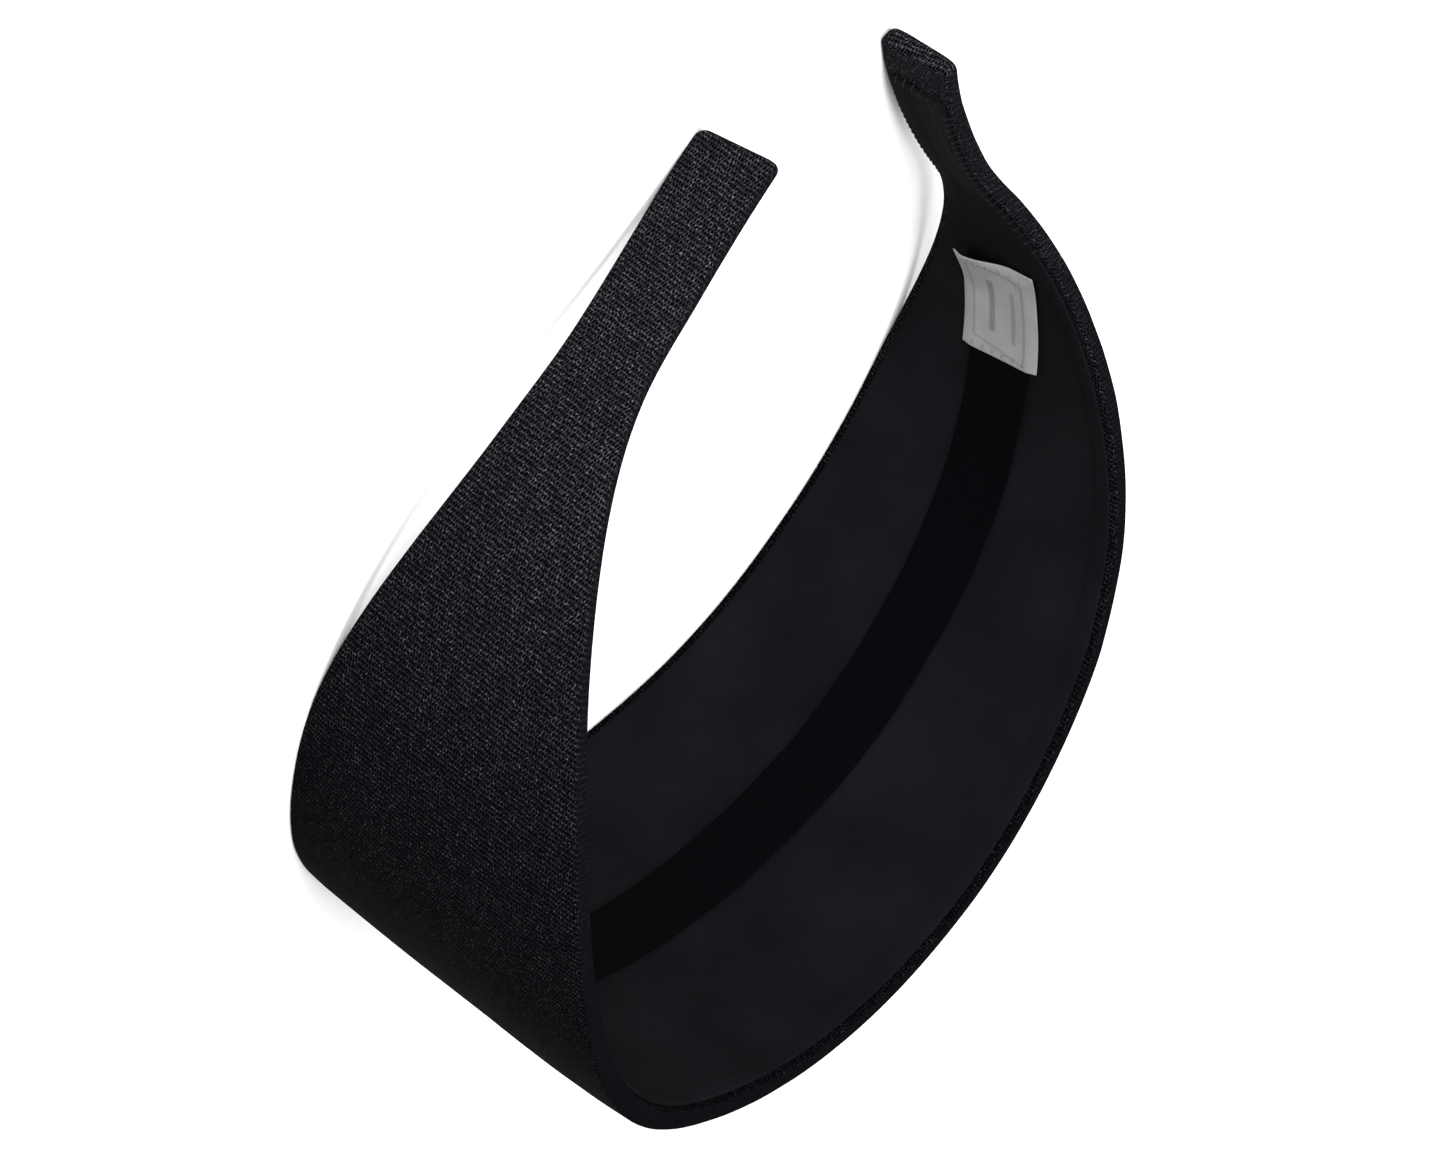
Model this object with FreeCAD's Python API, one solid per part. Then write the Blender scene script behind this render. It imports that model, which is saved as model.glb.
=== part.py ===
import FreeCAD, Part
import math
import os

# A wide fabric-covered headband, lying on its back edge.
#
# X runs from the left arm to the right arm, Y from the tips to the crown, and Z across
# the width of the band, from the back edge that it lies on to the shaped front edge.
# The band is a flat strip bent round lines that run along Z, so every layer is the arch
# in the XY plane, extruded along Z and trimmed to the outline seen from the side.
# The right half is modelled and mirrored. All sizes are in millimetres.

# Arch: tangent arcs on the face against the head, from the crown to the right tip.
# Each arc has its length and its radius, and a negative radius flares away from the head.
CROWN_ARC = (32.6, 102.5)
SHOULDER_ARC = (21.6, 40.0)
SIDE_ARC = (87.8, 55.3)
FLARE_ARC = (36.4, -129.0)

# Outline: widths across the band, and lengths along it.
CROWN_WIDTH = 58.2
SHOULDER_WIDTH = 47.5
NECK_WIDTH = 11.5
TIP_WIDTH = 11.2
CROWN_SWELL_LENGTH = 80.0    # from the crown to where the crown's extra width has run out
TAPER_LENGTH = 78.0          # from the shoulder to the neck
NECK_LENGTH = 26.5           # from the neck to the tip
BACK_HOLLOW = 3.8            # how far the back edge lifts between the crown and the tip
HOLLOW_LENGTH = 92.0        # from where the back edge starts to lift to the tip
TIP_SLANT = 9.0              # degrees that the tip's end leans from square
TIP_CORNER_RADIUS = 1.5

# Thicknesses of the layers.
COVER_CLOTH = 0.5
LINING_CLOTH = 0.5
CORE_THICKNESS = 1.2
FOAM_AT_CROWN = 1.7
FOAM_AT_TIP = 0.4
RIBBON_THICKNESS = 0.7
LABEL_THICKNESS = 0.3
THREAD = 0.35

# How the layers overlap each other.
TURN_IN = 3.5                # cover turned in along each long edge
TIP_FOLD = 9.0               # cover folded back over each tip
LINING_MARGIN = 1.2          # bare cover showing round the lining
LINING_OVER_FOLD = 1.0       # lining lying over the end of the tip fold

# Ribbon and label.
RIBBON_WIDTH = 9.5
RIBBON_OFF_CENTRE = 1.4      # towards the back edge
RIBBON_TO_TIP = 57.0         # from each end of the ribbon to the tip
LABEL_WIDTH = 12.0
LABEL_LENGTH = 18.0
LABEL_PAST_RIBBON = 0.8      # label reaching past the ribbon's end, towards the tip

# Stitches: straight bits of thread, lying just clear of the cloth.
STITCH_LENGTH = 2.0
STITCH_LIFT = 0.03
STITCH_INSET = 0.8           # from the edge of the piece sewn down to the thread's middle
EDGE_STITCH_PITCH = 3.2
EDGE_STITCH_COUNT = 11
EDGE_STITCH_LEAN = 30.0      # degrees that the whip stitches lean along the edge
FOLD_STITCH_COUNT = 4
TACK_STITCH_COUNT = 4
LABEL_STITCH_COUNT = 3

# The two halves stop this far apart at the crown, where the arms' spring is modelled.
SPLIT_GAP = 0.2

STATION_COUNT = 25           # points that each smooth curve passes through
PAST_TIP = 6.0               # curves run on this far, and are then trimmed
OUTLINE_CLEARANCE = 0.1      # the side outline is drawn this far above the cover
BEYOND = 20.0                # cutting shapes reach this far past what they cut

ARCS = (CROWN_ARC, SHOULDER_ARC, SIDE_ARC, FLARE_ARC)
HALF_LENGTH = sum(length for length, radius in ARCS)
NECK_AT = HALF_LENGTH - NECK_LENGTH
SHOULDER_AT = NECK_AT - TAPER_LENGTH
HOLLOW_AT = HALF_LENGTH - HOLLOW_LENGTH

# Heights of the layers' faces above the face against the head.
LINING_TOP = LINING_CLOTH
TURN_IN_TOP = LINING_TOP + COVER_CLOTH
CORE_TOP = TURN_IN_TOP + CORE_THICKNESS


def smooth_step(value):
    """Rise from 0 to 1 with level ends."""
    value = min(max(value, 0.0), 1.0)
    return value * value * (3.0 - 2.0 * value)


def arch_point(along, height):
    """Point and heading on the right half, by its way from the crown and its height."""
    x = 0.0
    y = 0.0
    heading = 0.0
    left = along
    for number, (length, radius) in enumerate(ARCS):
        last = number == len(ARCS) - 1
        step = left if last else min(left, length)
        turned = heading + step / radius
        x += radius * (math.sin(turned) - math.sin(heading))
        y += radius * (math.cos(turned) - math.cos(heading))
        heading = turned
        left -= step
        if left <= 0.0:
            break
    x += height * math.sin(heading)
    y += height * math.cos(heading)
    return FreeCAD.Vector(x, y, 0.0), heading


def foam_top(along):
    """Height of the foam's outer face: full at the crown, thin at the tip."""
    fade = smooth_step(along / HALF_LENGTH)
    return CORE_TOP + FOAM_AT_CROWN + (FOAM_AT_TIP - FOAM_AT_CROWN) * fade


def cover_top(along):
    return foam_top(along) + COVER_CLOTH


def level(height):
    """A face of a layer that stays at one height."""
    return lambda along: height


def back_edge(along):
    """Z of the back edge: flat round the crown, lifted along the arm."""
    way = min(max((along - HOLLOW_AT) / HOLLOW_LENGTH, 0.0), 1.0)
    return BACK_HOLLOW * math.sin(math.pi * way) ** 2


def band_width(along):
    """Width across the band, from the back edge to the front edge."""
    swell = 1.0 - min(along / CROWN_SWELL_LENGTH, 1.0) ** 2
    taper = smooth_step((along - SHOULDER_AT) / TAPER_LENGTH)
    narrowing = min(max((along - NECK_AT) / NECK_LENGTH, 0.0), 1.0) ** 2
    width = SHOULDER_WIDTH + (NECK_WIDTH - SHOULDER_WIDTH) * taper
    return width + (CROWN_WIDTH - SHOULDER_WIDTH) * swell - (NECK_WIDTH - TIP_WIDTH) * narrowing


def front_edge(along):
    return back_edge(along) + band_width(along)


def centre_line(along):
    return back_edge(along) + band_width(along) / 2.0


def ribbon_line(along):
    return centre_line(along) - RIBBON_OFF_CENTRE


def slope(line, along):
    """Rise of a line across the band for each millimetre along it."""
    reach = 0.5
    return (line(along + reach) - line(along - reach)) / (2.0 * reach)


def stations(first, last):
    """Evenly spaced ways along the band."""
    step = (last - first) / (STATION_COUNT - 1)
    return [first + number * step for number in range(STATION_COUNT)]


def face_curve(height_at):
    """Smooth curve of a layer's face in the XY plane, from the crown past the tip."""
    ways = stations(0.0, HALF_LENGTH + PAST_TIP)
    points = [arch_point(way, height_at(way))[0] for way in ways]
    heading = arch_point(ways[-1], 0.0)[1]
    curve = Part.BSplineCurve()
    curve.interpolate(
        Points=points,
        InitialTangent=FreeCAD.Vector(1, 0, 0),
        FinalTangent=FreeCAD.Vector(math.cos(heading), -math.sin(heading), 0),
    )
    return curve


def curve_piece(curve, height_at, first, last):
    """The part of a face curve between two ways along the band."""
    start = arch_point(first, height_at(first))[0]
    start.x = max(start.x, SPLIT_GAP / 2.0)
    end = arch_point(last, height_at(last))[0]
    return curve.toShape(curve.parameter(start), curve.parameter(end))


def arch_slab(low_at, high_at, first, last):
    """Layer between two heights, extruded over more than the width of the band."""
    low = curve_piece(face_curve(low_at), low_at, first, last)
    high = curve_piece(face_curve(high_at), high_at, first, last)
    start = Part.makeLine(high.Vertexes[0].Point, low.Vertexes[0].Point)
    end = Part.makeLine(low.Vertexes[-1].Point, high.Vertexes[-1].Point)
    profile = Part.Face(Part.Wire([low, end, high, start]))
    profile.translate(FreeCAD.Vector(0, 0, -BEYOND))
    return profile.extrude(FreeCAD.Vector(0, 0, CROWN_WIDTH + 2.0 * BEYOND))


def edge_wire(line, inset):
    """Edge seen from the side, moved in by an inset measured square to the edge."""
    height = cover_top(0.0) + OUTLINE_CLEARANCE
    first = HOLLOW_AT if line is back_edge else 0.0
    points = []
    for way in stations(first, HALF_LENGTH + PAST_TIP):
        spot = arch_point(way, height)[0]
        shift = inset * math.hypot(1.0, slope(line, way))
        points.append(FreeCAD.Vector(0, spot.y, line(way) + shift))
    curve = Part.BSplineCurve()
    if line is not back_edge:
        curve.interpolate(points)
        return [curve.toShape()]
    level_way = FreeCAD.Vector(0, -1, 0)
    curve.interpolate(Points=points, InitialTangent=level_way, FinalTangent=level_way)
    crown = FreeCAD.Vector(0, height, points[0].z)
    return [Part.makeLine(crown, points[0]), curve.toShape()]


def side_prism(low_line, low_inset, high_line, high_inset):
    """Everything between two edges seen from the side."""
    low = edge_wire(low_line, low_inset)
    high = edge_wire(high_line, -high_inset)
    up = FreeCAD.Vector(0, BEYOND, 0)
    low_crown = low[0].Vertexes[0].Point
    low_tip = low[-1].Vertexes[-1].Point
    high_crown = high[0].Vertexes[0].Point
    high_tip = high[-1].Vertexes[-1].Point
    outline = Part.Wire(low + [
        Part.makeLine(low_tip, low_tip - up),
        Part.makeLine(low_tip - up, high_tip - up),
        Part.makeLine(high_tip - up, high_tip),
    ] + high[::-1] + [
        Part.makeLine(high_crown, high_crown + up),
        Part.makeLine(high_crown + up, low_crown + up),
        Part.makeLine(low_crown + up, low_crown),
    ])
    return Part.Face(outline).extrude(FreeCAD.Vector(HALF_LENGTH, 0, 0))


def end_cutter(along, lean, outward):
    """Box that takes away what lies past a leaning end: 1 towards the tip, -1 the crown."""
    spot, heading = arch_point(along, 0.0)
    forward = FreeCAD.Vector(math.cos(heading), -math.sin(heading), 0)
    across = FreeCAD.Vector(0, 0, 1)
    away = (forward * math.cos(lean) + across * math.sin(lean)) * outward
    normal = FreeCAD.Vector(math.sin(heading), math.cos(heading), 0)
    sideways = away.cross(normal)
    middle = FreeCAD.Vector(spot.x, spot.y, centre_line(along))
    side = 2.0 * BEYOND
    box = Part.makeBox(side, side, side)
    corner = middle - normal * BEYOND - sideways * BEYOND
    box.Placement = FreeCAD.Placement(corner, FreeCAD.Rotation(away, normal, sideways, "XYZ"))
    return box


def square_lean(along):
    """Lean of an end that is cut square to the band's centre line."""
    return math.atan(slope(centre_line, along))


def strip(low_at, high_at, edges, first, last, leans):
    """One layer of the right half between two edges, cut off at a leaning end.

    edges is (low line, its inset, high line, its inset); leans is the lean of the end
    towards the crown, or None where the layer starts at the crown, and of the far end.
    """
    slab_start = 0.0 if leans[0] is None else first - PAST_TIP
    slab = arch_slab(low_at, high_at, slab_start, last + PAST_TIP)
    piece = slab.common(side_prism(*edges))
    if leans[0] is not None:
        piece = piece.cut(end_cutter(first, leans[0], -1.0))
    return piece.cut(end_cutter(last, leans[1], 1.0))


def rounded_tip(layer, end, radius):
    """Round the two corners of a layer's end nearest the tip."""
    spot, heading = arch_point(end, 0.0)
    spot.z = centre_line(end)
    normal = FreeCAD.Vector(math.sin(heading), math.cos(heading), 0)
    corners = []
    for edge in layer.Edges:
        points = [vertex.Point for vertex in edge.Vertexes]
        across = points[1] - points[0]
        upright = abs(across.normalize().dot(normal)) > 0.99
        if upright and (points[0] - spot).Length < TIP_WIDTH:
            corners.append(edge)
    return layer.makeFillet(radius, corners)


def band_layer(low_at, high_at, inset, end_inset):
    """One layer of the right half, inset from the long edges and from the tip."""
    end = HALF_LENGTH - end_inset
    edges = (back_edge, inset, front_edge, inset)
    layer = strip(low_at, high_at, edges, 0.0, end, (None, math.radians(-TIP_SLANT)))
    return layer


def cavity():
    """Space inside the cover that the core and the foam fill."""
    space = band_layer(level(TURN_IN_TOP), foam_top, COVER_CLOTH, COVER_CLOTH)
    return rounded_tip(space, HALF_LENGTH - COVER_CLOTH, TIP_CORNER_RADIUS - COVER_CLOTH)


def cover_opening():
    """Opening that the turned-in edges and the tip fold leave on the head side."""
    return band_layer(level(LINING_TOP - CORE_THICKNESS), level(CORE_TOP), TURN_IN, TIP_FOLD)


def cover():
    """Outer cloth, wrapped round the edges and turned in on the head side."""
    whole = band_layer(level(LINING_TOP), cover_top, 0.0, 0.0)
    whole = rounded_tip(whole, HALF_LENGTH, TIP_CORNER_RADIUS)
    return whole.cut(cavity()).cut(cover_opening())


def core():
    """Springy plastic strip that gives the arch its shape and its grip."""
    strip_shape = band_layer(level(TURN_IN_TOP), level(CORE_TOP), COVER_CLOTH, COVER_CLOTH)
    return rounded_tip(strip_shape, HALF_LENGTH - COVER_CLOTH, TIP_CORNER_RADIUS - COVER_CLOTH)


def foam():
    """Thin padding between the core and the cover."""
    pad = band_layer(level(CORE_TOP), foam_top, COVER_CLOTH, COVER_CLOTH)
    return rounded_tip(pad, HALF_LENGTH - COVER_CLOTH, TIP_CORNER_RADIUS - COVER_CLOTH)


def lining():
    """Inner cloth: it fills the cover's opening and laps over the turned-in edges."""
    filling = band_layer(level(0.0), level(TURN_IN_TOP), TURN_IN, TIP_FOLD)
    lap = band_layer(level(0.0), level(LINING_TOP), LINING_MARGIN, TIP_FOLD - LINING_OVER_FOLD)
    return filling.fuse(lap).removeSplitter()


def ribbon():
    """Velvet ribbon along the inner centre line, which keeps the band from slipping."""
    half = RIBBON_WIDTH / 2.0
    end = HALF_LENGTH - RIBBON_TO_TIP
    edges = (ribbon_line, -half, ribbon_line, -half)
    return strip(level(-RIBBON_THICKNESS), level(0.0), edges, 0.0, end, (None, square_lean(end)))


def label():
    """Small satin label sewn over one end of the ribbon."""
    half = LABEL_WIDTH / 2.0
    end = HALF_LENGTH - RIBBON_TO_TIP + LABEL_PAST_RIBBON
    start = end - LABEL_LENGTH
    low = level(-RIBBON_THICKNESS - LABEL_THICKNESS)
    edges = (ribbon_line, -half, ribbon_line, -half)
    leans = (square_lean(start), square_lean(end))
    return strip(low, level(-RIBBON_THICKNESS), edges, start, end, leans)


def stitch(along, across, depth, lean):
    """One bit of thread on the head side; a lean of 0 lies straight across the band."""
    spot, heading = arch_point(along, -depth - STITCH_LIFT - THREAD / 2.0)
    forward = FreeCAD.Vector(math.cos(heading), -math.sin(heading), 0)
    upward = FreeCAD.Vector(0, 0, 1)
    way = forward * math.sin(lean) + upward * math.cos(lean)
    spot.z = across
    return Part.makeCylinder(THREAD / 2.0, STITCH_LENGTH, spot - way * STITCH_LENGTH / 2.0, way)


def edge_stitches():
    """Whip stitches that hold the lining's long edges down near the tip."""
    lean = math.radians(EDGE_STITCH_LEAN)
    first = HALF_LENGTH - TIP_FOLD - EDGE_STITCH_PITCH
    stitches = []
    for number in range(EDGE_STITCH_COUNT):
        along = first - number * EDGE_STITCH_PITCH
        inset = LINING_MARGIN + STITCH_INSET
        low = back_edge(along) + inset * math.hypot(1.0, slope(back_edge, along))
        high = front_edge(along) - inset * math.hypot(1.0, slope(front_edge, along))
        stitches.append(stitch(along, low, 0.0, lean))
        stitches.append(stitch(along, high, 0.0, -lean))
    return Part.makeCompound(stitches)


def end_row(along, width, middle, count, depth):
    """Row of stitches across the band, each one lying along it."""
    stitches = []
    for number in range(count):
        offset = width * ((number + 0.5) / count - 0.5)
        way = along - offset * math.tan(square_lean(along))
        stitches.append(stitch(way, middle(along) + offset, depth, math.pi / 2.0))
    return stitches


def fold_stitches():
    """Stitches that hold the lining's end down on the tip fold."""
    along = HALF_LENGTH - TIP_FOLD + LINING_OVER_FOLD - STITCH_INSET - STITCH_LENGTH / 2.0
    width = TIP_WIDTH - 2.0 * LINING_MARGIN
    return Part.makeCompound(end_row(along, width, centre_line, FOLD_STITCH_COUNT, 0.0))


def ribbon_tacks():
    """Bar tacks that hold the end of the ribbon without the label."""
    along = HALF_LENGTH - RIBBON_TO_TIP - STITCH_INSET - STITCH_LENGTH / 2.0
    row = end_row(along, RIBBON_WIDTH, ribbon_line, TACK_STITCH_COUNT, RIBBON_THICKNESS)
    return Part.makeCompound(row)


def label_stitches():
    """Stitches along both short ends of the label."""
    depth = RIBBON_THICKNESS + LABEL_THICKNESS
    end = HALF_LENGTH - RIBBON_TO_TIP + LABEL_PAST_RIBBON
    inset = STITCH_INSET + STITCH_LENGTH / 2.0
    rows = []
    for along in (end - inset, end - LABEL_LENGTH + inset):
        rows += end_row(along, LABEL_WIDTH, ribbon_line, LABEL_STITCH_COUNT, depth)
    return Part.makeCompound(rows)


def mirrored(shape):
    """The left half's copy of a right half's shape."""
    return shape.mirror(FreeCAD.Vector(0, 0, 0), FreeCAD.Vector(1, 0, 0))


def box_centre_y():
    """Middle of the whole band along Y, which the origin is set at."""
    box = cover().BoundBox
    return (box.YMin + box.YMax) / 2.0


PAIRED = {
    "cover": cover,
    "foam": foam,
    "core": core,
    "lining": lining,
    "ribbon": ribbon,
    "edge_stitches": edge_stitches,
    "fold_stitches": fold_stitches,
}


def build():
    """Every node's shape by its name, with the origin at the middle of the back edge."""
    nodes = {}
    for name, make in PAIRED.items():
        right = make()
        nodes[name + "_right"] = right
        nodes[name + "_left"] = mirrored(right)
    nodes["label"] = mirrored(label())
    nodes["label_stitches"] = mirrored(label_stitches())
    nodes["ribbon_tacks"] = ribbon_tacks()
    shift = FreeCAD.Vector(0, -box_centre_y(), 0)
    for shape in nodes.values():
        shape.translate(shift)
    return nodes


os.makedirs("parts", exist_ok=True)
for node, shape in build().items():
    shape.exportStep("parts/" + node + ".step")
    box = shape.BoundBox
    print(node, "solids", len(shape.Solids), "valid", shape.isValid(), "volume", round(shape.Volume, 2),
          "box", [round(v, 2) for v in (box.XMin, box.YMin, box.ZMin, box.XMax, box.YMax, box.ZMax)])
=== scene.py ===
import bmesh
import bpy
import math
import random
from mathutils import Matrix, Vector, noise


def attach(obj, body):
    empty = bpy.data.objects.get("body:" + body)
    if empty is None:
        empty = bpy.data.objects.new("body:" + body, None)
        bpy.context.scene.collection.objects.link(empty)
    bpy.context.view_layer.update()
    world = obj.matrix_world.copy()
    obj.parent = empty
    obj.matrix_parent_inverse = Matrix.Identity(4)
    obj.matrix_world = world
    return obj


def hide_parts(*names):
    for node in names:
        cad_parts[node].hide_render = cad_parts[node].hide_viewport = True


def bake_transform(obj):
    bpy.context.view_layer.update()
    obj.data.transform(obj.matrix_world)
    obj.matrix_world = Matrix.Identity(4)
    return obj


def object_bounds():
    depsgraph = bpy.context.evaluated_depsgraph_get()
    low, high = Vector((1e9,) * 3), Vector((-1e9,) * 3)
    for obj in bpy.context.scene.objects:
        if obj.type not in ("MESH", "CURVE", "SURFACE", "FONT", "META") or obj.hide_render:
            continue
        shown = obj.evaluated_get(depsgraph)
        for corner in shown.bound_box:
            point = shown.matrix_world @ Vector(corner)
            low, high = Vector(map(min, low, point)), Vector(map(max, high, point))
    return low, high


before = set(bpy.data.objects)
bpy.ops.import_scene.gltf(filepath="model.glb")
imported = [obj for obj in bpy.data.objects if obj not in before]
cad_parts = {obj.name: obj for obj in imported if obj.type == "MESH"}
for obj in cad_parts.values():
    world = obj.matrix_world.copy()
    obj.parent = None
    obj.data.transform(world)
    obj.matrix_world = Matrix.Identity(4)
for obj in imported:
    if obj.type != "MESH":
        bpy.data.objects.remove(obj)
cad_box = [list(corner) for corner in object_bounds()]

# ---------------------------------------------------------------------------
# The springy core: one strip of flexible plastic, moulded to the arch of a head, broad at
# the crown and narrow at the tips. Everything else is built up on it. It is laid out flat
# in millimetres, as way along from the crown (negative on the left arm), way across from
# the table and height above the head's side, and is then bent round the arch.

MM = 0.001
ARCH = ((32.6, 102.5), (21.6, 40.0), (87.8, 55.3), (36.4, -129.0))   # length, radius
HALF_LENGTH = sum(length for length, radius in ARCH)
CROWN_WIDTH = 58.2
SHOULDER_WIDTH = 47.5
NECK_WIDTH = 11.5
TIP_WIDTH = 11.2
SWELL_LENGTH = 80.0      # from the crown to where its extra width has run out
TAPER_LENGTH = 78.0      # from the shoulder to the neck
NECK_LENGTH = 26.5       # from the neck to the tip
BACK_HOLLOW = 3.8        # lift of the back edge along each arm
HOLLOW_LENGTH = 92.0
TIP_LEAN = math.radians(-9.0)
TIP_CORNER = 1.5
CLOTH = 0.5
TURN_IN_TOP = 1.0
CORE_TOP = 2.2
FOAM_AT_CROWN = 1.7
FOAM_AT_TIP = 0.4
SOFTENING = 4.0          # reach over which the outline's corners are eased


def clamp(value):
    return min(max(value, 0.0), 1.0)


def smooth_step(value):
    value = clamp(value)
    return value * value * (3.0 - 2.0 * value)


def foam_top(along):
    fade = smooth_step(abs(along) / HALF_LENGTH)
    return CORE_TOP + FOAM_AT_CROWN + (FOAM_AT_TIP - FOAM_AT_CROWN) * fade


def cover_top(along):
    return foam_top(along) + CLOTH


def back_edge(along):
    """The edge that the band lies on, at a way along it."""
    way = clamp((abs(along) - HALF_LENGTH + HOLLOW_LENGTH) / HOLLOW_LENGTH)
    return BACK_HOLLOW * math.sin(math.pi * way) ** 2


def plain_width(along):
    neck = HALF_LENGTH - NECK_LENGTH
    swell = 1.0 - min(along / SWELL_LENGTH, 1.0) ** 2
    taper = smooth_step((along - neck + TAPER_LENGTH) / TAPER_LENGTH)
    flare = clamp((along - neck) / NECK_LENGTH) ** 2
    width = SHOULDER_WIDTH + (NECK_WIDTH - SHOULDER_WIDTH) * taper
    return width + (CROWN_WIDTH - SHOULDER_WIDTH) * swell + (TIP_WIDTH - NECK_WIDTH) * flare


def front_edge(along):
    """The shaped edge, at a way along it, with its corners eased."""
    ways = [abs(along) + SOFTENING * step / 2.0 for step in (-2, -1, 0, 1, 2)]
    width = sum(plain_width(abs(way)) for way in ways) / len(ways)
    return back_edge(along) + width


def centre_line(along):
    return (back_edge(along) + front_edge(along)) / 2.0


def slope(line, along):
    return line(along + 0.5) - line(along - 0.5)


def inset_line(line, inset):
    """A line run inside an edge, at a distance measured square to it."""
    return lambda along: line(along) + inset * math.hypot(1.0, slope(line, along))


def bent_round_arch(flat):
    """Place in metres of a point that is given flat in millimetres."""
    side = 1.0 if flat.x >= 0.0 else -1.0
    left = abs(flat.x)
    x = 0.0
    y = 0.0
    heading = 0.0
    for length, radius in ARCH:
        step = left if (length, radius) == ARCH[-1] else min(left, length)
        turned = heading + step / radius
        x += radius * (math.sin(turned) - math.sin(heading))
        y += radius * (math.cos(turned) - math.cos(heading))
        heading = turned
        left -= step
        if left <= 0.0:
            break
    x += flat.z * math.sin(heading)
    y += flat.z * math.cos(heading)
    crown = cad_box[1][1] - cover_top(0.0) * MM
    return Vector((side * x * MM, crown + y * MM, flat.y * MM))


def rising(first, last, count):
    """Evenly spaced values, first and last among them."""
    return [first + (last - first) * number / count for number in range(count + 1)]


def laid_strip(low, high, ways, insets, middle_rows, lean_in, lean_out):
    """A flat grid between two lines, its rows near the edges at set distances from them."""
    bm = bmesh.new()
    rows = 2 * (len(insets) - 1) + middle_rows
    bmesh.ops.create_grid(bm, x_segments=len(ways) - 1, y_segments=rows, size=1.0)
    reach = 15.0
    for vert in bm.verts:
        along = ways[round((vert.co.x + 1.0) / 2.0 * (len(ways) - 1))]
        row = round((vert.co.y + 1.0) / 2.0 * rows)
        from_edge = min(row, rows - row)
        bottom = low(along)
        top = high(along)
        if from_edge < len(insets):
            inset = insets[from_edge]
            across = bottom + inset if row < rows / 2 else top - inset
        else:
            share = (row - len(insets) + 1) / middle_rows
            across = bottom + insets[-1] + (top - bottom - 2.0 * insets[-1]) * share
        offset = across - (bottom + top) / 2.0
        near_first = smooth_step(1.0 - (along - ways[0]) / reach)
        near_last = smooth_step(1.0 - (ways[-1] - along) / reach)
        along -= offset * (math.tan(lean_in) * near_first + math.tan(lean_out) * near_last)
        vert.co = (along, across, 0.0)
    return bm


def thickened(bm, low_at, high_at):
    """Give the flat grid a lower and an upper face, at heights that depend on the way along."""
    upper = list(bm.verts)
    made = bmesh.ops.extrude_face_region(bm, geom=list(bm.faces))
    lower = [part for part in made["geom"] if isinstance(part, bmesh.types.BMVert)]
    for vert in upper:
        vert.co.z = high_at(vert.co.x)
    for vert in lower:
        vert.co.z = low_at(vert.co.x)
    bmesh.ops.recalc_face_normals(bm, faces=bm.faces)


def round_corners(bm, radius, segments):
    """Round the four upright corners of a thickened strip."""
    corners = []
    for edge in bm.edges:
        rise = edge.verts[0].co - edge.verts[1].co
        if abs(rise.z) > 0.9 * rise.length and edge.calc_face_angle(0.0) > 0.9:
            corners.append(edge)
    bmesh.ops.bevel(bm, geom=corners, offset=radius, segments=segments, profile=0.5,
                    affect="EDGES", material=-1, clamp_overlap=True)


def round_rims(bm, radius, segments):
    """Round the long rims and the ends, above and below."""
    rims = []
    for edge in bm.edges:
        tilts = sorted(abs(face.normal.z) for face in edge.link_faces)
        if len(tilts) == 2 and tilts[0] < 0.3 and tilts[1] > 0.9:
            rims.append(edge)
    bmesh.ops.bevel(bm, geom=rims, offset=radius, segments=segments, profile=0.5,
                    affect="EDGES", material=-1, clamp_overlap=True)


def lay_pattern(bm, middle, top_at):
    """Give a flat piece its own coordinates in metres, which run on over its rims."""
    layer = bm.loops.layers.uv.new("cloth")
    bm.normal_update()
    for face in bm.faces:
        spot = face.calc_center_median()
        end_wall = abs(face.normal.x) > max(abs(face.normal.y), abs(face.normal.z))
        side = 1.0 if spot.y > middle(spot.x) else -1.0
        end = 1.0 if spot.x > 0.0 else -1.0
        for loop in face.loops:
            along, across, height = loop.vert.co
            drop = max(top_at(along) - height, 0.0) if face.normal.z > -0.7 else 0.0
            if end_wall:
                along += end * drop
            else:
                across += side * drop
            loop[layer].uv = (along * MM, across * MM)


def bend(bm):
    """Bend a flat piece round the arch, with its faces still looking outwards."""
    for vert in bm.verts:
        vert.co = bent_round_arch(vert.co)
    bmesh.ops.reverse_faces(bm, faces=list(bm.faces))


def finished(bm, name, material):
    """Turn the mesh into a named piece with its material."""
    mesh = bpy.data.meshes.new(name)
    bm.normal_update()
    for face in bm.faces:
        face.smooth = True
    bm.to_mesh(mesh)
    bm.free()
    mesh.materials.append(material)
    piece = bpy.data.objects.new(name, mesh)
    bpy.context.scene.collection.objects.link(piece)
    return piece


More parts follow.
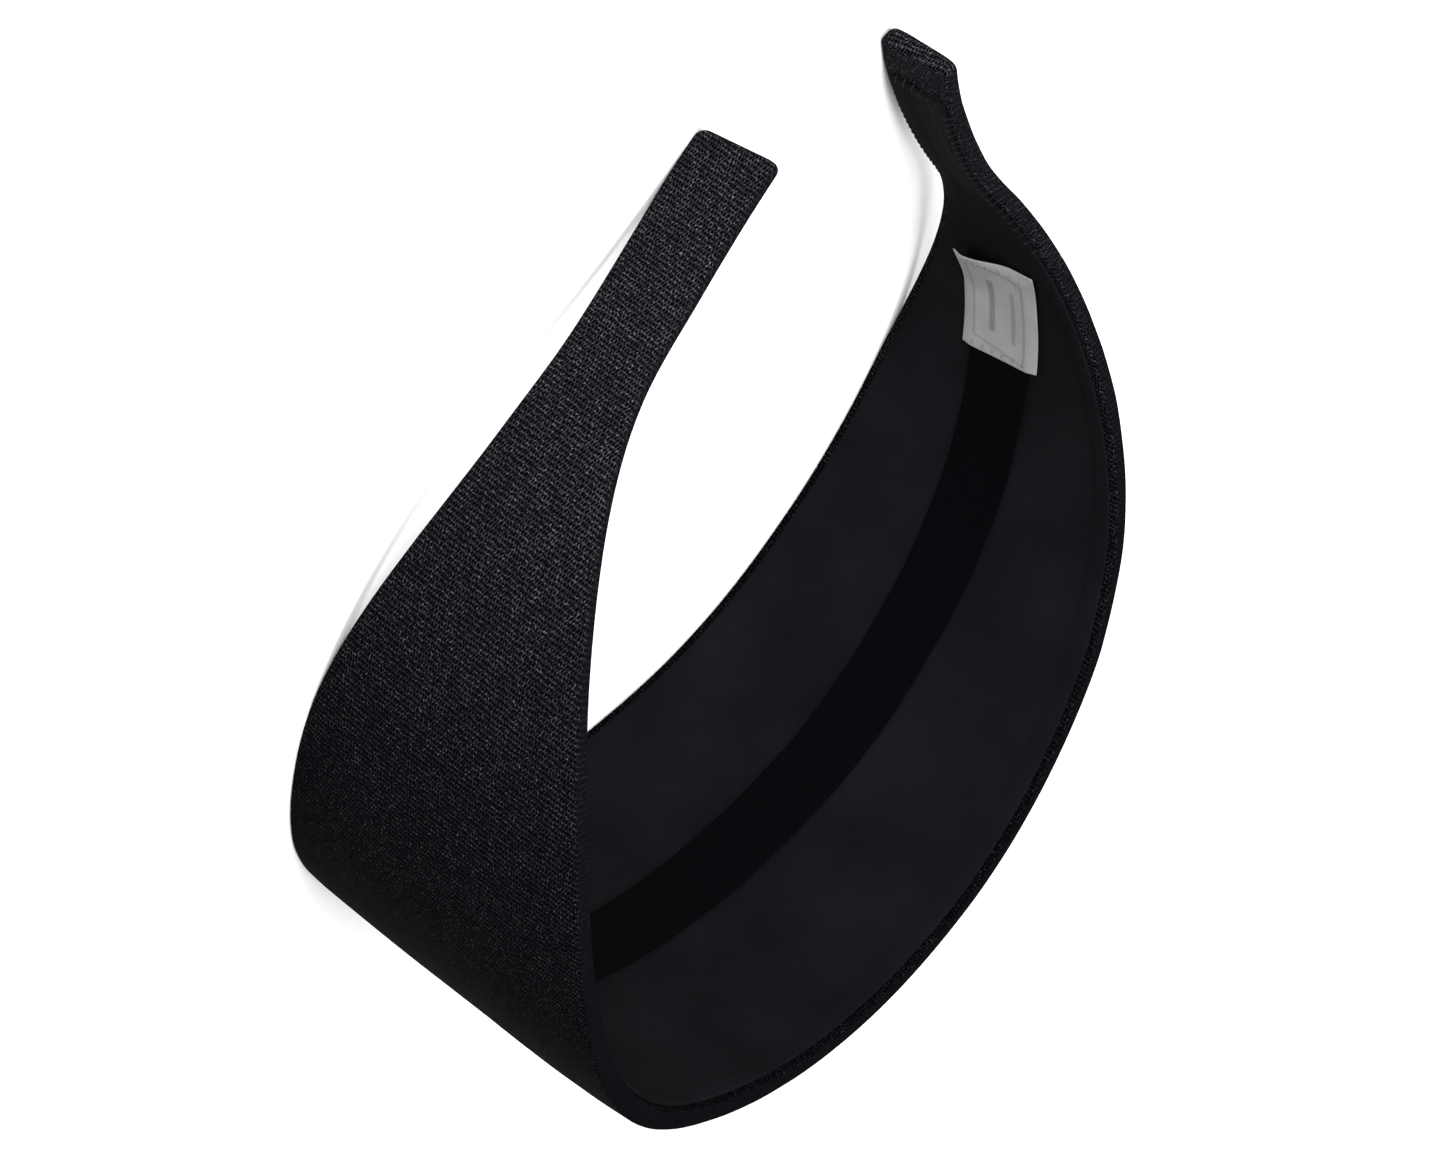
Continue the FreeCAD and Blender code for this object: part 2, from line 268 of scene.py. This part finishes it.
class Socket:
    """One output in a material's nodes, so that sums of outputs read as plain sums."""

    def __init__(self, tree, output):
        self.tree = tree
        self.output = output

    def node(self, kind, settings, sockets, output=0):
        """Add a node of a type, with its settings and its sockets' values or links."""
        made = self.tree.nodes.new("ShaderNode" + kind)
        for name, value in settings.items():
            if name == "stops":
                ramp = made.color_ramp.elements
                while len(ramp) < len(value):
                    ramp.new(1.0)
                for element, (place, colour) in zip(ramp, value):
                    element.position = place
                    element.color = colour
            else:
                setattr(made, name, value)
        for name, value in sockets.items():
            if isinstance(value, Socket):
                self.tree.links.new(value.output, made.inputs[name])
            else:
                made.inputs[name].default_value = value
        return Socket(self.tree, made.outputs[output])

    def maths(self, operation, *values):
        return self.node("Math", {"operation": operation}, dict(enumerate(values)))

    def __add__(self, other):
        return self.maths("ADD", self, other)

    def __radd__(self, other):
        return self.maths("ADD", other, self)

    def __sub__(self, other):
        return self.maths("SUBTRACT", self, other)

    def __rsub__(self, other):
        return self.maths("SUBTRACT", other, self)

    def __mul__(self, other):
        return self.maths("MULTIPLY", self, other)

    def __rmul__(self, other):
        return self.maths("MULTIPLY", other, self)

    def __truediv__(self, other):
        return self.maths("DIVIDE", self, other)

    def noise(self, vector, scale, detail):
        sockets = {"Vector": vector, "Scale": scale, "Detail": detail}
        return self.node("TexNoise", {}, sockets)

    def between(self, low, high):
        """0 below low, 1 above high, and a smooth rise between them."""
        sockets = {"Value": self, "From Min": low, "From Max": high}
        return self.node("MapRange", {"interpolation_type": "SMOOTHSTEP"}, sockets)

    def blended(self, first, second):
        """Mix two colours by this value."""
        return self.node("Mix", {"data_type": "RGBA"}, {0: self, 6: first, 7: second}, 2)


def finish_of(name):
    """A new material: its principled shader, its nodes and its starting socket."""
    material = bpy.data.materials.new(name)
    material.use_nodes = True
    tree = material.node_tree
    shader = tree.nodes["Principled BSDF"]
    place = tree.nodes.new("ShaderNodeTexCoord")
    return material, shader, Socket(tree, place.outputs["Object"]), Socket(tree, place.outputs["UV"])


def joined(shader, name, value):
    value.tree.links.new(value.output, shader.inputs[name])


def pressed(height, distance, strength):
    """A normal that follows a pattern's height in metres."""
    sockets = {"Height": height, "Distance": distance, "Strength": strength}
    return height.node("Bump", {}, sockets)


def core_finish():
    material, shader, place, flat = finish_of("black flexible plastic")
    grain = place.noise(place, 2600.0, 3.0)
    cloudy = place.noise(place, 60.0, 2.0)
    joined(shader, "Base Color", cloudy.blended((0.012, 0.012, 0.013, 1), (0.022, 0.022, 0.024, 1)))
    joined(shader, "Roughness", 0.38 + grain * 0.2)
    joined(shader, "Normal", pressed(grain, 0.00004, 0.6))
    return material


def band_ways(last, end_cell, end_count, middle_count):
    """Ways along the whole band, closer together near the tips."""
    near = rising(last - end_cell - 8.0, last - end_cell, end_count)
    right = near + [last]
    left = [-way for way in reversed(right)]
    return left[:-1] + rising(left[-1], right[0], middle_count) + right[1:]


def band_slab(edge_inset, end_inset, low_at, high_at, middle_rows, middle_count):
    """A solid layer of the band, inset from its edges and from its tips."""
    low = inset_line(back_edge, edge_inset)
    high = inset_line(front_edge, -edge_inset)
    ways = band_ways(HALF_LENGTH - end_inset, 1.6, 5, middle_count)
    bm = laid_strip(low, high, ways, (0.0, 1.6), middle_rows, -TIP_LEAN, TIP_LEAN)
    thickened(bm, low_at, high_at)
    return bm


hidden = CLOTH + 0.1
core_bm = band_slab(hidden, hidden, lambda along: TURN_IN_TOP + 0.1, lambda along: CORE_TOP, 14, 140)
round_corners(core_bm, TIP_CORNER - CLOTH, 4)
round_rims(core_bm, 0.35, 2)
lay_pattern(core_bm, centre_line, lambda along: CORE_TOP)
bend(core_bm)
core = finished(core_bm, "springy_core", core_finish())
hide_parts("core_left", "core_right")
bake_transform(core)

# ---------------------------------------------------------------------------
# The padding: a thin sheet of soft foam, glued to the outside of the core, full at the
# crown and pared down to nearly nothing at the tips and along both edges. The cover's
# gentle crown across its width comes from it.

EDGE_THINNING = 0.2


def crowned(bm, base, middle):
    """Thin a flat piece towards its long edges, above a base height."""
    for vert in bm.verts:
        half = (front_edge(vert.co.x) - back_edge(vert.co.x)) / 2.0
        share = clamp(abs(vert.co.y - middle(vert.co.x)) / half)
        if vert.co.z > base:
            vert.co.z = base + (vert.co.z - base) * (1.0 - EDGE_THINNING * share ** 4)


def foam_finish():
    material, shader, place, flat = finish_of("grey padding foam")
    cells = place.node("TexVoronoi", {}, {"Vector": place, "Scale": 2200.0})
    cloudy = place.noise(place, 90.0, 3.0)
    joined(shader, "Base Color", cloudy.blended((0.06, 0.06, 0.062, 1), (0.11, 0.11, 0.112, 1)))
    joined(shader, "Roughness", 0.85 + cloudy * 0.1)
    joined(shader, "Normal", pressed(cells, 0.0002, 0.8))
    return material


foam_bm = band_slab(hidden, hidden, lambda along: CORE_TOP + 0.05, lambda along: foam_top(along) - 0.1,
                    16, 140)
round_corners(foam_bm, TIP_CORNER - CLOTH, 4)
lay_pattern(foam_bm, centre_line, foam_top)
crowned(foam_bm, CORE_TOP + 0.05, centre_line)
bend(foam_bm)
foam = finished(foam_bm, "padding_foam", foam_finish())
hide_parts("foam_left", "foam_right")
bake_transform(foam)

# ---------------------------------------------------------------------------
# The cover: one piece of black ribbed cloth, pulled over the foam, wrapped round both long edges
# and turned in on the head side. At each tip it is folded back over the end, so that the ribbed
# cloth shows inside as well. Its faint glint is painted into its colour, and so is light that makes
# it lighter towards the tips and darker towards the crown.

TURN_IN = 3.5
TIP_FOLD = 9.0
COVER_RIM = 1.05


def cover_finish():
    """Fine open ribs: short loops of yarn round dark hollows, in staggered rows, with painted glints and painted
    light towards the tips.
    """
    material, shader, place, flat = finish_of("black ribbed cloth")
    parts = flat.tree.nodes.new("ShaderNodeSeparateXYZ")
    flat.tree.links.new(flat.output, parts.inputs[0])
    along = Socket(flat.tree, parts.outputs["X"]) * 1000.0
    across = Socket(flat.tree, parts.outputs["Y"]) * 1000.0
    row_pitch = 0.68
    loop_pitch = 0.44
    waver = place.noise(flat, 900.0, 2.0) - 0.5
    row_place = along / row_pitch + waver * 1.0
    row = row_place.maths("FLOOR", row_place)
    loop_place = across / loop_pitch + row * 0.5 + waver * 1.3
    loop = loop_place.maths("FLOOR", loop_place)
    in_row = row_place - row - 0.5
    in_loop = loop_place - loop - 0.5
    reach = (in_row * in_row + in_loop * in_loop).maths("SQRT", in_row * in_row + in_loop * in_loop)
    yarn = reach.between(0.24, 0.56)
    cell = row.node("CombineXYZ", {}, {"X": row, "Y": loop})
    luck = cell.node("TexWhiteNoise", {"noise_dimensions": "2D"}, {"Vector": cell})
    fibre = place.noise(flat, 3600.0, 3.0)
    cloudy = place.noise(flat, 80.0, 3.0)
    rim = flat.node("Attribute", {"attribute_name": "rim"}, {}, 2)
    from_crown = along.maths("ABSOLUTE", along)
    # Painted light and shade: this factor paints the cloth lighter towards the tips and darker towards the
    # crown, as the light falls on the arch.
    painted_light_to_tips = from_crown.between(HALF_LENGTH - 125.0, HALF_LENGTH - 10.0)
    # Painted glints on the rims near the tips: light slanting ticks painted into the colour as highlights, and
    # pressed in as small bumps.
    slant = (along / 1.5 + across / 2.4 + waver * 0.5) * (2.0 * math.pi)
    rim_glint_span = from_crown.between(HALF_LENGTH - 70.0, HALF_LENGTH - 25.0)
    painted_rim_glint = slant.maths("SINE", slant).between(0.6, 1.0) * rim * rim_glint_span * luck
    # How bright the yarn is painted: its loops and a random tone per loop, times the painted light towards the
    # tips.
    yarn_tone_and_painted_light = yarn * (luck * luck * 0.8 + 0.2) * fibre.between(0.38, 0.62) * (0.5 + cloudy) * (0.22 + painted_light_to_tips * 1.1)
    # Painted glints: bright specks painted into the colour on the yarn as highlights, stronger towards the tips;
    # the cloth is also made less rough there.
    painted_glint = fibre.between(0.585, 0.68) * yarn * (0.2 + luck * 0.8) * (0.25 + painted_light_to_tips * 0.75)
    # The hollows' ground colour, lifted on the yarn and by the painted light towards the tips.
    yarn_fill_and_painted_light = yarn * (0.06 + painted_light_to_tips * 1.1)
    ground = yarn_fill_and_painted_light.blended((0.0005, 0.0006, 0.0009, 1), (0.0058, 0.0064, 0.008, 1))
    thread = luck.blended((0.03, 0.034, 0.043, 1), (0.041, 0.037, 0.039, 1))
    cloth = (yarn_tone_and_painted_light * (1.0 - rim * 0.6)).blended(ground, thread)
    # The painted glint highlights are blended into the colour here, fainter on the rims.
    with_painted_glint = (painted_glint * (1.0 - rim * 0.8)).blended(cloth, (0.13, 0.138, 0.155, 1))
    edged = (rim * 0.45).blended(with_painted_glint, (0.0028, 0.0031, 0.0038, 1))
    # The painted glint ticks on the rims are blended into the colour here.
    joined(shader, "Base Color", (painted_rim_glint * fibre.between(0.4, 0.6)).blended(edged, (0.03, 0.032, 0.038, 1)))
    joined(shader, "Roughness", 0.8 - painted_glint * 0.35)
    joined(shader, "Normal", pressed(yarn * (1.0 - rim * 0.6) + fibre * 0.5 + painted_rim_glint, 0.00014, 0.8))
    shader.inputs["Specular IOR Level"].default_value = 0.006
    return material


def cover_is_open(face):
    """True where the turned-in cloth leaves the head side bare."""
    spot = face.calc_center_median()
    low = spot.y - back_edge(spot.x)
    high = front_edge(spot.x) - spot.y
    inside = min(low, high) > TURN_IN and abs(spot.x) < HALF_LENGTH - TIP_FOLD
    return face.normal.z < -0.9 and inside


def mark_rims(bm):
    """Mark how far each point is round a long rim, where the cloth is pulled smooth."""
    layer = bm.verts.layers.float.new("rim")
    bm.normal_update()
    for vert in bm.verts:
        vert[layer] = smooth_step((abs(vert.normal.y) - 0.55) / 0.4)


def softened(bm, amount, size, seed):
    """Move the cloth up and down a little, as cloth that was pulled on by hand lies."""
    for vert in bm.verts:
        spot = Vector((vert.co.x / size, vert.co.y / size, seed + vert.co.z / size))
        vert.co.z += amount * noise.noise(spot)


cover_rows = (0.0, 1.5, 2.5, TURN_IN)
cover_ways = band_ways(HALF_LENGTH, 1.6, 7, 200)
cover_bm = laid_strip(back_edge, front_edge, cover_ways, cover_rows, 20, -TIP_LEAN, TIP_LEAN)
thickened(cover_bm, lambda along: CLOTH, cover_top)
round_corners(cover_bm, TIP_CORNER - 0.1, 5)
round_rims(cover_bm, COVER_RIM, 4)
lay_pattern(cover_bm, centre_line, cover_top)
mark_rims(cover_bm)
bare = [face for face in cover_bm.faces if cover_is_open(face)]
bmesh.ops.delete(cover_bm, geom=bare, context="FACES")
crowned(cover_bm, TURN_IN_TOP, centre_line)
softened(cover_bm, 0.16, 16.0, 3.0)
softened(cover_bm, 0.07, 5.0, 8.0)
bend(cover_bm)
cover = finished(cover_bm, "ribbed_cover", cover_finish())
cloth = cover.modifiers.new("cloth thickness", "SOLIDIFY")
cloth.thickness = 0.42 * MM
cloth.offset = -1.0
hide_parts("cover_left", "cover_right")

# ---------------------------------------------------------------------------
# The lining: smooth matte black cloth, cut to the inside of the arch, hemmed and sewn
# over the turned-in edges of the cover. It sinks a little where nothing lies under it, so
# that the turned-in edges show through it as a soft ridge.

LINING_MARGIN = 1.2
LINING_SINK = 0.3


def lining_finish():
    material, shader, place, flat = finish_of("smooth black lining")
    parts = flat.tree.nodes.new("ShaderNodeSeparateXYZ")
    flat.tree.links.new(flat.output, parts.inputs[0])
    thread_pitch = 0.28
    along = Socket(flat.tree, parts.outputs["X"]) * (2000.0 * math.pi / thread_pitch)
    across = Socket(flat.tree, parts.outputs["Y"]) * (2000.0 * math.pi / thread_pitch)
    weave = along.maths("SINE", along) * across.maths("SINE", across)
    fuzz = place.noise(flat, 5200.0, 3.0)
    cloudy = place.noise(flat, 55.0, 4.0)
    tone = (cloudy.between(0.3, 0.75) * 0.7 + fuzz * 0.3)
    joined(shader, "Base Color", tone.blended((0.0022, 0.0024, 0.003, 1), (0.0046, 0.0049, 0.0058, 1)))
    joined(shader, "Roughness", 0.82 + fuzz * 0.12)
    joined(shader, "Normal", pressed(weave * 0.5 + fuzz, 0.00005, 0.55))
    shader.inputs["Specular IOR Level"].default_value = 0.02
    return material


def sink_lining(bm):
    """Let the lining down between the turned-in edges, towards the core."""
    for vert in bm.verts:
        low = vert.co.y - back_edge(vert.co.x)
        high = front_edge(vert.co.x) - vert.co.y
        end = HALF_LENGTH - TIP_FOLD - abs(vert.co.x)
        inside = min(low, high) - TURN_IN
        down = smooth_step((inside + 0.3) / 1.2) * smooth_step((end + 0.3) / 1.5)
        vert.co.z += LINING_SINK * down


lining_low = inset_line(back_edge, LINING_MARGIN)
lining_high = inset_line(front_edge, -LINING_MARGIN)
lining_end = HALF_LENGTH - TIP_FOLD + 1.0
lining_rows = (0.0, 0.6, 1.4, 2.0, 2.6, 3.2, 3.8)
lining_bm = laid_strip(lining_low, lining_high, band_ways(lining_end, 0.6, 10, 200), lining_rows, 16,
                       -TIP_LEAN, TIP_LEAN)
thickened(lining_bm, lambda along: 0.0, lambda along: CLOTH)
round_corners(lining_bm, 0.5, 3)
round_rims(lining_bm, 0.2, 3)
lay_pattern(lining_bm, centre_line, lambda along: CLOTH)
sink_lining(lining_bm)
softened(lining_bm, 0.12, 14.0, 21.0)
bend(lining_bm)
lining = finished(lining_bm, "smooth_lining", lining_finish())
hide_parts("lining_left", "lining_right")

# ---------------------------------------------------------------------------
# The grip ribbon: narrow black velvet tape, glued along the middle of the lining, pile
# towards the head, so that the band doesn't slip on hair. Its left end goes under the
# label, and its right end is held by a bar tack.

RIBBON_WIDTH = 9.5
RIBBON_THICKNESS = 0.7
RIBBON_END = HALF_LENGTH - 57.0
RIBBON_OFF_CENTRE = 1.4
RIBBON_LOW = LINING_SINK + 0.02 - RIBBON_THICKNESS


def ribbon_line(along):
    return centre_line(along) - RIBBON_OFF_CENTRE


def ribbon_finish():
    material, shader, place, flat = finish_of("black velvet pile")
    pile = place.noise(flat, 9000.0, 2.0)
    nap = place.noise(flat, 420.0, 3.0)
    tone = pile * 0.6 + nap * 0.4
    joined(shader, "Base Color", tone.blended((0.0003, 0.0004, 0.0006, 1), (0.0018, 0.002, 0.0025, 1)))
    joined(shader, "Roughness", 0.9 + pile * 0.1)
    joined(shader, "Normal", pressed(pile + nap * 0.6, 0.00012, 0.8))
    shader.inputs["Specular IOR Level"].default_value = 0.01
    return material


def waved_edges(bm, middle, amount, size, seed):
    """Let a tape's edges wander a little across its width."""
    for vert in bm.verts:
        offset = vert.co.y - middle(vert.co.x)
        spot = Vector((vert.co.x / size, math.copysign(seed, offset), 0.0))
        vert.co.y += amount * noise.noise(spot) * clamp(abs(offset) / 4.0)


def tape(width, thickness, low, first, last, count, rows):
    """A tape laid along the ribbon's line at a height above the head's side."""
    half = width / 2.0
    lean_in = -math.atan(slope(ribbon_line, first))
    lean_out = -math.atan(slope(ribbon_line, last))
    bm = laid_strip(inset_line(ribbon_line, -half), inset_line(ribbon_line, half),
                    rising(first, last, count), (0.0, 0.5), rows, -lean_in, -lean_out)
    thickened(bm, lambda along: low, lambda along: low + thickness)
    return bm


ribbon_bm = tape(RIBBON_WIDTH, RIBBON_THICKNESS, RIBBON_LOW, -RIBBON_END, RIBBON_END, 220, 8)
round_rims(ribbon_bm, 0.28, 3)
lay_pattern(ribbon_bm, ribbon_line, lambda along: 0.0)
waved_edges(ribbon_bm, ribbon_line, 0.16, 9.0, 5.0)
softened(ribbon_bm, 0.12, 14.0, 21.0)
bend(ribbon_bm)
ribbon = finished(ribbon_bm, "velvet_grip_ribbon", ribbon_finish())
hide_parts("ribbon_left", "ribbon_right")
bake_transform(ribbon)

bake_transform(lining)
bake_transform(cover)

# ---------------------------------------------------------------------------
# The label: a short piece of pale satin tape, sewn down at both ends over the ribbon's
# left end. It is woven with a thin plain border and is left blank. Its long sides drop
# from the ribbon on to the lining, and one corner has lifted.

LABEL_WIDTH = 12.0
LABEL_LENGTH = 18.0
LABEL_THICKNESS = 0.26
LABEL_FIRST = -RIBBON_END - 0.8
LABEL_LAST = LABEL_FIRST + LABEL_LENGTH
LABEL_LOW = RIBBON_LOW - LABEL_THICKNESS - 0.02


def label_finish():
    material, shader, place, flat = finish_of("pale satin tape")
    parts = flat.tree.nodes.new("ShaderNodeSeparateXYZ")
    flat.tree.links.new(flat.output, parts.inputs[0])
    along = Socket(flat.tree, parts.outputs["X"]) * 1000.0
    across = Socket(flat.tree, parts.outputs["Y"]) * 1000.0
    middle_along = (LABEL_FIRST + LABEL_LAST) / 2.0
    length = (along - middle_along).maths("ABSOLUTE", along - middle_along)
    width = across.maths("ABSOLUTE", across)
    border_along = length.between(7.1, 7.3) * (1.0 - length.between(7.6, 7.8))
    border_across = width.between(4.0, 4.2) * (1.0 - width.between(4.5, 4.7))
    inside = (1.0 - length.between(7.6, 7.8)) * (1.0 - width.between(4.5, 4.7))
    border = border_along.maths("MAXIMUM", border_along, border_across) * inside
    short = 1.0 - length.between(4.6, 5.0)
    bars = (across.between(-1.9, -1.5) - across.between(-0.9, -0.5)) * short
    bars = bars + (across.between(2.0, 2.3) - across.between(2.7, 3.0)) * short * 0.7
    weft = along * (2.0 * math.pi / 0.22)
    ribs = weft.maths("SINE", weft)
    mottle = place.noise(flat, 260.0, 3.0)
    satin = mottle.blended((0.14, 0.14, 0.136, 1), (0.2, 0.2, 0.193, 1))
    woven = (border * 0.3 + bars * 0.5).blended(satin, (0.037, 0.04, 0.04, 1))
    joined(shader, "Base Color", woven)
    joined(shader, "Roughness", 0.42 + mottle * 0.15)
    joined(shader, "Normal", pressed(ribs * 0.5 + border * 0.4, 0.00003, 0.6))
    shader.inputs["Specular IOR Level"].default_value = 0.25
    return material


def drop_sides(bm):
    """Lay the label over the ribbon, let its sides and its end down, and lift one corner."""
    for vert in bm.verts:
        offset = vert.co.y - ribbon_line(vert.co.x)
        off_side = smooth_step((abs(offset) - RIBBON_WIDTH / 2.0) / 1.7)
        off_end = smooth_step((-RIBBON_END - vert.co.x) / 1.5)
        vert.co.z += 0.42 * max(off_side, off_end)
        corner = math.hypot(vert.co.x - LABEL_FIRST, offset + LABEL_WIDTH / 2.0)
        vert.co.z -= 1.5 * smooth_step(1.0 - corner / 9.0)


label_bm = tape(LABEL_WIDTH, LABEL_THICKNESS, LABEL_LOW, LABEL_FIRST, LABEL_LAST, 36, 24)
round_rims(label_bm, 0.1, 2)
label_layer = label_bm.loops.layers.uv.new("cloth")
for face in label_bm.faces:
    for loop in face.loops:
        spot = loop.vert.co
        loop[label_layer].uv = (spot.x * MM, (spot.y - ribbon_line(spot.x)) * MM)
drop_sides(label_bm)
softened(label_bm, 0.1, 7.0, 31.0)
bend(label_bm)
label = finished(label_bm, "blank_satin_label", label_finish())
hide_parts("label")
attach(label, "left_half")

# ---------------------------------------------------------------------------
# The stitches: polyester sewing thread. Whip stitches hold the lining's long edges to the
# cover near both tips, short ones hold the lining's ends down on the tip folds, a bar
# tack holds the ribbon's right end, and pale ones hold the label's two ends.

THREAD_RADIUS = 0.11


def thread_finish(name, dark, light):
    material, shader, place, flat = finish_of(name)
    parts = flat.tree.nodes.new("ShaderNodeSeparateXYZ")
    flat.tree.links.new(flat.output, parts.inputs[0])
    along = Socket(flat.tree, parts.outputs["X"])
    across = Socket(flat.tree, parts.outputs["Y"])
    turn = (along + across) * (2000.0 * math.pi / 0.3)
    twist = turn.maths("SINE", turn) * 0.5 + 0.5
    fuzz = place.noise(flat, 6000.0, 2.0)
    joined(shader, "Base Color", (twist * 0.8 + fuzz * 0.2).blended(dark, light))
    joined(shader, "Roughness", 0.5 + fuzz * 0.25)
    joined(shader, "Normal", pressed(twist + fuzz * 0.3, 0.00004, 0.8))
    shader.inputs["Specular IOR Level"].default_value = 0.08
    return material


def sewn(bm, along, across, length, lean, height_at):
    """One stitch: a thin thread, laid flat, then let down on what lies under it."""
    vert_count = len(bm.verts)
    edge_count = len(bm.edges)
    bmesh.ops.create_cone(bm, cap_ends=True, segments=6, radius1=THREAD_RADIUS,
                          radius2=THREAD_RADIUS, depth=length)
    bm.edges.ensure_lookup_table()
    sides = [edge for edge in bm.edges[edge_count:]
             if abs(edge.verts[0].co.z - edge.verts[1].co.z) > 0.5 * length]
    bmesh.ops.subdivide_edges(bm, edges=sides, cuts=6)
    bm.verts.ensure_lookup_table()
    verts = bm.verts[vert_count:]
    turn = Matrix.Rotation(math.pi / 2.0, 4, "X")
    bmesh.ops.transform(bm, matrix=Matrix.Rotation(-lean, 4, "Z") @ turn, verts=verts)
    for vert in verts:
        way = (vert.co.x * math.sin(lean) + vert.co.y * math.cos(lean)) / (length / 2.0)
        vert.co.x += along
        vert.co.y += across
        vert.co.z += height_at(vert.co.x, vert.co.y) + 0.28 * way ** 4


def hem_height(along, across):
    """Height of the head side near a long edge: lining, bare cover, then the rounded rim."""
    inset = min(across - back_edge(along), front_edge(along) - across)
    inset /= math.hypot(1.0, slope(front_edge, along))
    bare = CLOTH * smooth_step((1.35 - inset) / 0.5)
    rim = 1.5 * clamp((0.75 - inset) / 0.9) ** 2
    return bare + rim - THREAD_RADIUS * 0.8


def lining_end_height(along, across):
    """Height of the head side where the lining ends on the tip fold."""
    beyond = abs(along) - (HALF_LENGTH - TIP_FOLD + 1.0)
    return CLOTH * smooth_step((beyond + 0.2) / 0.5) - THREAD_RADIUS * 0.8


def whip_stitches(side):
    bm = bmesh.new()
    dice = random.Random(11 + side)
    pitch = 1.55
    for number in range(24):
        along = HALF_LENGTH - TIP_FOLD - 1.6 - pitch * number
        for line, inward in ((back_edge, 1.0), (front_edge, -1.0)):
            way = along + dice.uniform(-0.2, 0.2)
            across = line(way) + inward * 1.05 * math.hypot(1.0, slope(line, way))
            lean = side * inward * -0.5 + dice.uniform(-0.14, 0.14)
            lean += math.atan(slope(line, side * way)) * -1.0
            sewn(bm, side * way, across, 1.95 + dice.uniform(-0.15, 0.15), lean, hem_height)
    return bm


def fold_stitches(bm, side):
    along = HALF_LENGTH - TIP_FOLD + 0.6
    count = 6
    for number in range(count):
        offset = (TIP_WIDTH - 3.2) * ((number + 0.5) / count - 0.5)
        way = side * (along - offset * math.tan(TIP_LEAN))
        sewn(bm, way, centre_line(way) + offset, 1.7, math.pi / 2.0, lining_end_height)


def tape_row(bm, along, width, count, height, length):
    """A row of stitches across a tape, each one lying along it."""
    for number in range(count):
        offset = width * ((number + 0.5) / count - 0.5)
        way = along - offset * slope(ribbon_line, along)
        sewn(bm, way, ribbon_line(way) + offset, length, math.pi / 2.0, height)


black_thread = thread_finish("black sewing thread", (0.002, 0.002, 0.003, 1), (0.014, 0.015, 0.017, 1))
pale_thread = thread_finish("pale sewing thread", (0.12, 0.12, 0.12, 1), (0.2, 0.2, 0.193, 1))


def sewn_piece(bm, name, material, replaced, body):
    lay_pattern(bm, centre_line, lambda along: 0.0)
    bend(bm)
    piece = finished(bm, name, material)
    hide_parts(*replaced)
    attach(piece, body)


for side, word in ((-1.0, "left"), (1.0, "right")):
    sewn_piece(whip_stitches(side), "whip_stitches_" + word, black_thread,
               ["edge_stitches_" + word], word + "_half")
    fold_bm = bmesh.new()
    fold_stitches(fold_bm, side)
    sewn_piece(fold_bm, "tip_fold_stitches_" + word, black_thread,
               ["fold_stitches_" + word], word + "_half")

tack_bm = bmesh.new()
tape_row(tack_bm, RIBBON_END - 1.5, RIBBON_WIDTH - 0.6, 14,
         lambda along, across: RIBBON_LOW - THREAD_RADIUS * 0.7, 1.9)
sewn_piece(tack_bm, "ribbon_bar_tack", black_thread, ["ribbon_tacks"], "right_half")

label_thread_bm = bmesh.new()


def label_height(along, across):
    offset = across - ribbon_line(along)
    off_side = smooth_step((abs(offset) - RIBBON_WIDTH / 2.0) / 1.7)
    off_end = smooth_step((-RIBBON_END - along) / 1.5)
    corner = math.hypot(along - LABEL_FIRST, offset + LABEL_WIDTH / 2.0)
    lift = 1.5 * smooth_step(1.0 - corner / 9.0)
    return LABEL_LOW + 0.42 * max(off_side, off_end) - lift - THREAD_RADIUS * 0.7


for spot in (LABEL_FIRST + 1.1, LABEL_LAST - 1.1):
    tape_row(label_thread_bm, spot, LABEL_WIDTH - 1.4, 6, label_height, 1.3)
sewn_piece(label_thread_bm, "label_end_stitches", pale_thread, ["label_stitches"], "left_half")

# ---------------------------------------------------------------------------
# The stand: a plain pale floor, soft light from above and a long lens.


def floor_finish():
    material, shader, place, flat = finish_of("plain pale floor")
    speck = place.noise(place, 40.0, 2.0)
    joined(shader, "Base Color", speck.blended((0.86, 0.86, 0.86, 1), (0.88, 0.88, 0.88, 1)))
    shader.inputs["Roughness"].default_value = 0.9
    shader.inputs["Specular IOR Level"].default_value = 0.1
    return material


floor_bm = bmesh.new()
bmesh.ops.create_grid(floor_bm, x_segments=2, y_segments=2, size=4.0)
floor = finished(floor_bm, "floor", floor_finish())


def soft_light(name, place, target, size, power):
    lamp = bpy.data.lights.new(name, "AREA")
    lamp.shape = "DISK"
    lamp.size = size
    lamp.energy = power
    light = bpy.data.objects.new(name, lamp)
    light.location = place
    light.rotation_euler = (Vector(target) - Vector(place)).to_track_quat("-Z", "Y").to_euler()
    bpy.context.scene.collection.objects.link(light)


soft_light("overhead", (0.1, -0.2, 1.5), (0.0, 0.0, 0.0), 1.8, 34.0)
soft_light("from_the_tips", (1.05, -1.25, 0.6), (0.0, 0.0, 0.02), 0.9, 50.0)

world = bpy.data.worlds.new("studio")
world.use_nodes = True
world.node_tree.nodes["Background"].inputs["Color"].default_value = (1.0, 1.0, 1.0, 1.0)
world.node_tree.nodes["Background"].inputs["Strength"].default_value = 0.5
bpy.context.scene.world = world
bpy.context.scene.view_settings.view_transform = "Standard"

lens = bpy.data.cameras.new("camera")
lens.sensor_width = 36.0
lens.lens = 143.5
lens.clip_start = 0.05
lens.clip_end = 20.0
camera = bpy.data.objects.new("camera", lens)
backwards = Vector((0.75298, -0.58598, 0.2994)).normalized()
upwards = Vector((-0.35554, -0.74515, -0.56421))
rightwards = upwards.cross(backwards).normalized()
upwards = backwards.cross(rightwards)
turned = Matrix((rightwards, upwards, backwards)).transposed().to_4x4()
camera.matrix_world = Matrix.Translation((0.5686, -0.4332, 0.2439)) @ turned
bpy.context.scene.collection.objects.link(camera)
bpy.context.scene.camera = camera
